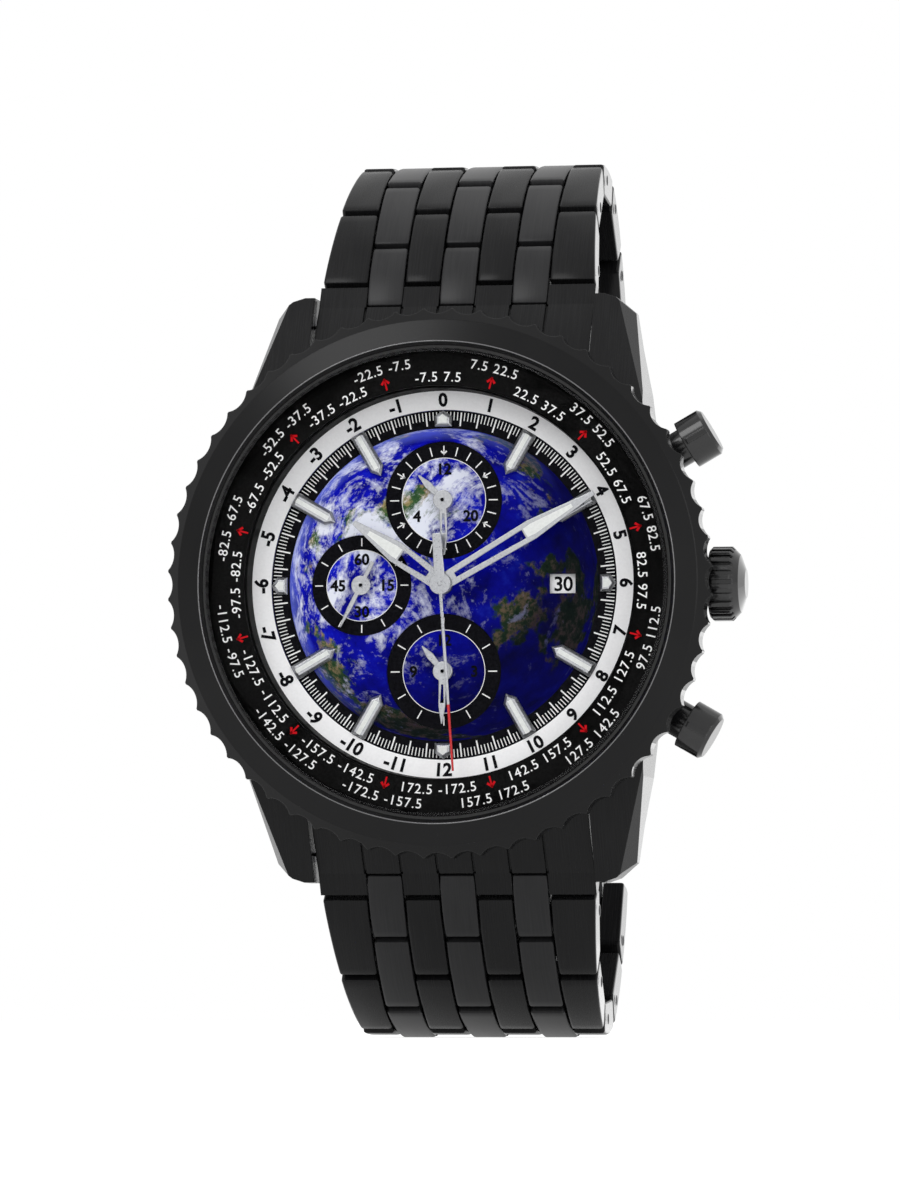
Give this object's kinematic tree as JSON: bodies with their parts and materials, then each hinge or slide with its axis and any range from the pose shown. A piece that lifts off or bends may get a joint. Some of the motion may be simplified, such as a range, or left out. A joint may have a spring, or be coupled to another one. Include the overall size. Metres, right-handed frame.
{
  "type": "wristwatch",
  "caption": "World time wristwatch with a scalloped turning bezel, small dials, two pushers and a folding-clasp bracelet of hinged link rows.",
  "frame": {"origin": "centre of the case back's outer flat face, on the hands' axis", "axes": "+Y out of the case back towards the wrist, +Z to 12 o'clock, +X to the crown at 3 o'clock"},
  "size_m": [0.0503, 0.0542, 0.0792],
  "materials": {
    "black_steel": "black coated steel, fine brushed with polished bevels",
    "bright_steel": "plain bright steel",
    "plated_brass": "nickel plated",
    "silver_plate": "polished silver plate with white luminous fill",
    "seal_rubber": "matte",
    "holder_plastic": "moulded",
    "dial_blue": "printed picture under clear lacquer",
    "white_lacquer": "satin lacquer",
    "black_lacquer": "satin lacquer",
    "crystal_glass": "polished flat crystal"
  },
  "bodies": {
    "case": {"middle_case": "black_steel", "case_back": "black_steel", "case_back_gasket": "seal_rubber", "movement_holder": "holder_plastic", "movement": "plated_brass", "battery": "bright_steel", "dial": "dial_blue", "hour_ring": "white_lacquer", "hour_markers": "silver_plate", "case_tubes": "black_steel", "spring_bars": "bright_steel", "end_links": "black_steel", "pusher_spring_2": "bright_steel", "pusher_spring_4": "bright_steel"},
    "bezel": {"bezel": "black_steel", "crystal": "crystal_glass", "crystal_gasket": "seal_rubber", "place_ring": "black_lacquer"},
    "date_disc": {"date_disc": "white_lacquer"},
    "crown_slider": {"crown_gasket": "seal_rubber"},
    "crown": {"crown": "black_steel", "winding_stem": "bright_steel"},
    "pusher_2": {"pusher_2": "black_steel"},
    "pusher_4": {"pusher_4": "black_steel"},
    "minute_hand": {"minute_hand": "silver_plate"},
    "hour_hand": {"hour_hand": "silver_plate"},
    "sweep_hand": {"sweep_hand": "silver_plate"},
    "small_seconds_hand": {"small_seconds_hand": "silver_plate"},
    "local_minute_hand": {"local_minute_hand": "silver_plate"},
    "local_hour_hand": {"local_hour_hand": "silver_plate"},
    "counter_minute_hand": {"counter_minute_hand": "silver_plate"},
    "counter_hour_hand": {"counter_hour_hand": "silver_plate"},
    "upper_link_01": {"upper_link_01": "black_steel"},
    "upper_link_02": {"upper_link_02": "black_steel"},
    "upper_link_03": {"upper_link_03": "black_steel"},
    "upper_link_04": {"upper_link_04": "black_steel"},
    "upper_link_05": {"upper_link_05": "black_steel"},
    "upper_link_06": {"upper_link_06": "black_steel"},
    "upper_link_07": {"upper_link_07": "black_steel"},
    "upper_link_08": {"upper_link_08": "black_steel"},
    "upper_link_09": {"upper_link_09": "black_steel"},
    "upper_link_10": {"upper_link_10": "black_steel"},
    "upper_link_11": {"upper_link_11": "black_steel"},
    "upper_link_12": {"upper_link_12": "black_steel"},
    "lower_link_01": {"lower_link_01": "black_steel"},
    "lower_link_02": {"lower_link_02": "black_steel"},
    "lower_link_03": {"lower_link_03": "black_steel"},
    "lower_link_04": {"lower_link_04": "black_steel"},
    "lower_link_05": {"lower_link_05": "black_steel"},
    "lower_link_06": {"lower_link_06": "black_steel"},
    "lower_link_07": {"lower_link_07": "black_steel"},
    "lower_link_08": {"lower_link_08": "black_steel"},
    "lower_link_09": {"lower_link_09": "black_steel"},
    "lower_link_10": {"lower_link_10": "black_steel"},
    "lower_link_11": {"lower_link_11": "black_steel"},
    "clasp_cover": {"clasp_cover": "black_steel"},
    "clasp_leaf_outer": {"clasp_leaf_outer": "black_steel"},
    "clasp_leaf_inner": {"clasp_leaf_inner": "black_steel"},
    "clasp_button_left": {"clasp_button_left": "black_steel"},
    "clasp_button_right": {"clasp_button_right": "black_steel"}
  },
  "joints": [
    {"name": "bezel_turn", "type": "hinge", "parent": "case", "child": "bezel", "pos_m": [0, -0.01, 0], "axis": [0, 1, 0], "continuous": true},
    {"name": "date_disc_turn", "type": "hinge", "parent": "case", "child": "date_disc", "pos_m": [0, -0.00695, 0], "axis": [0, 1, 0], "continuous": true},
    {"name": "minute_hand_turn", "type": "hinge", "parent": "case", "child": "minute_hand", "pos_m": [0, -0.0085, 0], "axis": [0, 1, 0], "continuous": true},
    {"name": "hour_hand_turn", "type": "hinge", "parent": "case", "child": "hour_hand", "pos_m": [0, -0.0085, 0], "axis": [0, 1, 0], "continuous": true},
    {"name": "sweep_hand_turn", "type": "hinge", "parent": "case", "child": "sweep_hand", "pos_m": [0, -0.0085, 0], "axis": [0, 1, 0], "continuous": true},
    {"name": "small_seconds_hand_turn", "type": "hinge", "parent": "case", "child": "small_seconds_hand", "pos_m": [-0.0073, -0.0085, 0], "axis": [0, 1, 0], "continuous": true},
    {"name": "local_minute_hand_turn", "type": "hinge", "parent": "case", "child": "local_minute_hand", "pos_m": [0, -0.0085, 0.0074], "axis": [0, 1, 0], "continuous": true},
    {"name": "local_hour_hand_turn", "type": "hinge", "parent": "case", "child": "local_hour_hand", "pos_m": [0, -0.0085, 0.0074], "axis": [0, 1, 0], "continuous": true},
    {"name": "counter_minute_hand_turn", "type": "hinge", "parent": "case", "child": "counter_minute_hand", "pos_m": [0, -0.0085, -0.0076], "axis": [0, 1, 0], "continuous": true},
    {"name": "counter_hour_hand_turn", "type": "hinge", "parent": "case", "child": "counter_hour_hand", "pos_m": [0, -0.0085, -0.0076], "axis": [0, 1, 0], "continuous": true},
    {"name": "crown_pull", "type": "slide", "parent": "case", "child": "crown_slider", "axis": [1, 0, 0], "range_m": [0, 0.0012]},
    {"name": "crown_turn", "type": "hinge", "parent": "crown_slider", "child": "crown", "pos_m": [0.0245, -0.0047, 0], "axis": [1, 0, 0], "continuous": true},
    {"name": "pusher_2_press", "type": "slide", "parent": "case", "child": "pusher_2", "axis": [-0.866, 0, -0.5], "range_m": [0, 0.001], "stiffness_N_per_m": 800, "springref_m": -0.0005, "deforming": ["pusher_spring_2"]},
    {"name": "pusher_4_press", "type": "slide", "parent": "case", "child": "pusher_4", "axis": [-0.866, 0, 0.5], "range_m": [0, 0.001], "stiffness_N_per_m": 800, "springref_m": -0.0005, "deforming": ["pusher_spring_4"]},
    {"name": "upper_link_01_hinge", "type": "hinge", "parent": "case", "child": "upper_link_01", "pos_m": [0, 0.0006, 0.0255], "axis": [-1, 0, 0], "range_deg": [-5.24, 0]},
    {"name": "upper_link_02_hinge", "type": "hinge", "parent": "upper_link_01", "child": "upper_link_02", "pos_m": [0, 0.00226, 0.02835], "axis": [-1, 0, 0], "range_deg": [-6.7, 0]},
    {"name": "upper_link_03_hinge", "type": "hinge", "parent": "upper_link_02", "child": "upper_link_03", "pos_m": [0, 0.00479, 0.03171], "axis": [-1, 0, 0], "range_deg": [-9.4, 0]},
    {"name": "upper_link_04_hinge", "type": "hinge", "parent": "upper_link_03", "child": "upper_link_04", "pos_m": [0, 0.00782, 0.03461], "axis": [-1, 0, 0], "range_deg": [-12.3, 0]},
    {"name": "upper_link_05_hinge", "type": "hinge", "parent": "upper_link_04", "child": "upper_link_05", "pos_m": [0, 0.01141, 0.03679], "axis": [-1, 0, 0], "range_deg": [-15.85, 0]},
    {"name": "upper_link_06_hinge", "type": "hinge", "parent": "upper_link_05", "child": "upper_link_06", "pos_m": [0, 0.01546, 0.03792], "axis": [-1, 0, 0], "range_deg": [-18.43, 0]},
    {"name": "upper_link_07_hinge", "type": "hinge", "parent": "upper_link_06", "child": "upper_link_07", "pos_m": [0, 0.01965, 0.0377], "axis": [-1, 0, 0], "range_deg": [-17.89, 0]},
    {"name": "upper_link_08_hinge", "type": "hinge", "parent": "upper_link_07", "child": "upper_link_08", "pos_m": [0, 0.02358, 0.03621], "axis": [-1, 0, 0], "range_deg": [-14.74, 0]},
    {"name": "upper_link_09_hinge", "type": "hinge", "parent": "upper_link_08", "child": "upper_link_09", "pos_m": [0, 0.027, 0.03377], "axis": [-1, 0, 0], "range_deg": [-11.3, 0]},
    {"name": "upper_link_10_hinge", "type": "hinge", "parent": "upper_link_09", "child": "upper_link_10", "pos_m": [0, 0.02987, 0.03071], "axis": [-1, 0, 0], "range_deg": [-8.69, 0]},
    {"name": "upper_link_11_hinge", "type": "hinge", "parent": "upper_link_10", "child": "upper_link_11", "pos_m": [0, 0.03225, 0.02725], "axis": [-1, 0, 0], "range_deg": [-6.92, 0]},
    {"name": "upper_link_12_hinge", "type": "hinge", "parent": "upper_link_11", "child": "upper_link_12", "pos_m": [0, 0.03419, 0.02352], "axis": [-1, 0, 0], "range_deg": [-5.73, 0]},
    {"name": "lower_link_01_hinge", "type": "hinge", "parent": "case", "child": "lower_link_01", "pos_m": [0, 0.0006, -0.0255], "axis": [1, 0, 0], "range_deg": [-5.24, 0]},
    {"name": "lower_link_02_hinge", "type": "hinge", "parent": "lower_link_01", "child": "lower_link_02", "pos_m": [0, 0.00226, -0.02835], "axis": [1, 0, 0], "range_deg": [-6.7, 0]},
    {"name": "lower_link_03_hinge", "type": "hinge", "parent": "lower_link_02", "child": "lower_link_03", "pos_m": [0, 0.00479, -0.03171], "axis": [1, 0, 0], "range_deg": [-9.4, 0]},
    {"name": "lower_link_04_hinge", "type": "hinge", "parent": "lower_link_03", "child": "lower_link_04", "pos_m": [0, 0.00782, -0.03461], "axis": [1, 0, 0], "range_deg": [-12.3, 0]},
    {"name": "lower_link_05_hinge", "type": "hinge", "parent": "lower_link_04", "child": "lower_link_05", "pos_m": [0, 0.01141, -0.03679], "axis": [1, 0, 0], "range_deg": [-15.85, 0]},
    {"name": "lower_link_06_hinge", "type": "hinge", "parent": "lower_link_05", "child": "lower_link_06", "pos_m": [0, 0.01546, -0.03792], "axis": [1, 0, 0], "range_deg": [-18.43, 0]},
    {"name": "lower_link_07_hinge", "type": "hinge", "parent": "lower_link_06", "child": "lower_link_07", "pos_m": [0, 0.01965, -0.0377], "axis": [1, 0, 0], "range_deg": [-17.89, 0]},
    {"name": "lower_link_08_hinge", "type": "hinge", "parent": "lower_link_07", "child": "lower_link_08", "pos_m": [0, 0.02358, -0.03621], "axis": [1, 0, 0], "range_deg": [-14.74, 0]},
    {"name": "lower_link_09_hinge", "type": "hinge", "parent": "lower_link_08", "child": "lower_link_09", "pos_m": [0, 0.027, -0.03377], "axis": [1, 0, 0], "range_deg": [-11.3, 0]},
    {"name": "lower_link_10_hinge", "type": "hinge", "parent": "lower_link_09", "child": "lower_link_10", "pos_m": [0, 0.02987, -0.03071], "axis": [1, 0, 0], "range_deg": [-8.69, 0]},
    {"name": "lower_link_11_hinge", "type": "hinge", "parent": "lower_link_10", "child": "lower_link_11", "pos_m": [0, 0.03225, -0.02725], "axis": [1, 0, 0], "range_deg": [-6.92, 0]},
    {"name": "clasp_cover_hinge", "type": "hinge", "parent": "upper_link_12", "child": "clasp_cover", "pos_m": [0, 0.03575, 0.01962], "axis": [-1, 0, 0], "range_deg": [-2.81, 0]},
    {"name": "clasp_leaf_outer_hinge", "type": "hinge", "parent": "clasp_cover", "child": "clasp_leaf_outer", "pos_m": [0, 0.03627, -0.0198], "axis": [-1, 0, 0], "range_deg": [-40, 0]},
    {"name": "clasp_leaf_inner_hinge", "type": "hinge", "parent": "clasp_leaf_outer", "child": "clasp_leaf_inner", "pos_m": [0, 0.03674, 0.01534], "axis": [-1, 0, 0], "range_deg": [0, 40]},
    {"name": "clasp_button_left_press", "type": "slide", "parent": "clasp_cover", "child": "clasp_button_left", "axis": [1, 0, 0], "range_m": [0, 0.0005], "stiffness_N_per_m": 600, "springref_m": -0.0003},
    {"name": "clasp_button_right_press", "type": "slide", "parent": "clasp_cover", "child": "clasp_button_right", "axis": [-1, 0, 0], "range_m": [0, 0.0005], "stiffness_N_per_m": 600, "springref_m": -0.0003}
  ],
  "couplings": [
    {"joint": "hour_hand_turn", "follows": "minute_hand_turn", "ratio": 0.083333},
    {"joint": "local_minute_hand_turn", "follows": "minute_hand_turn", "ratio": 1},
    {"joint": "local_hour_hand_turn", "follows": "minute_hand_turn", "ratio": 0.041667},
    {"joint": "counter_hour_hand_turn", "follows": "counter_minute_hand_turn", "ratio": 0.083333},
    {"joint": "clasp_leaf_inner_hinge", "follows": "clasp_leaf_outer_hinge", "ratio": -1}
  ]
}
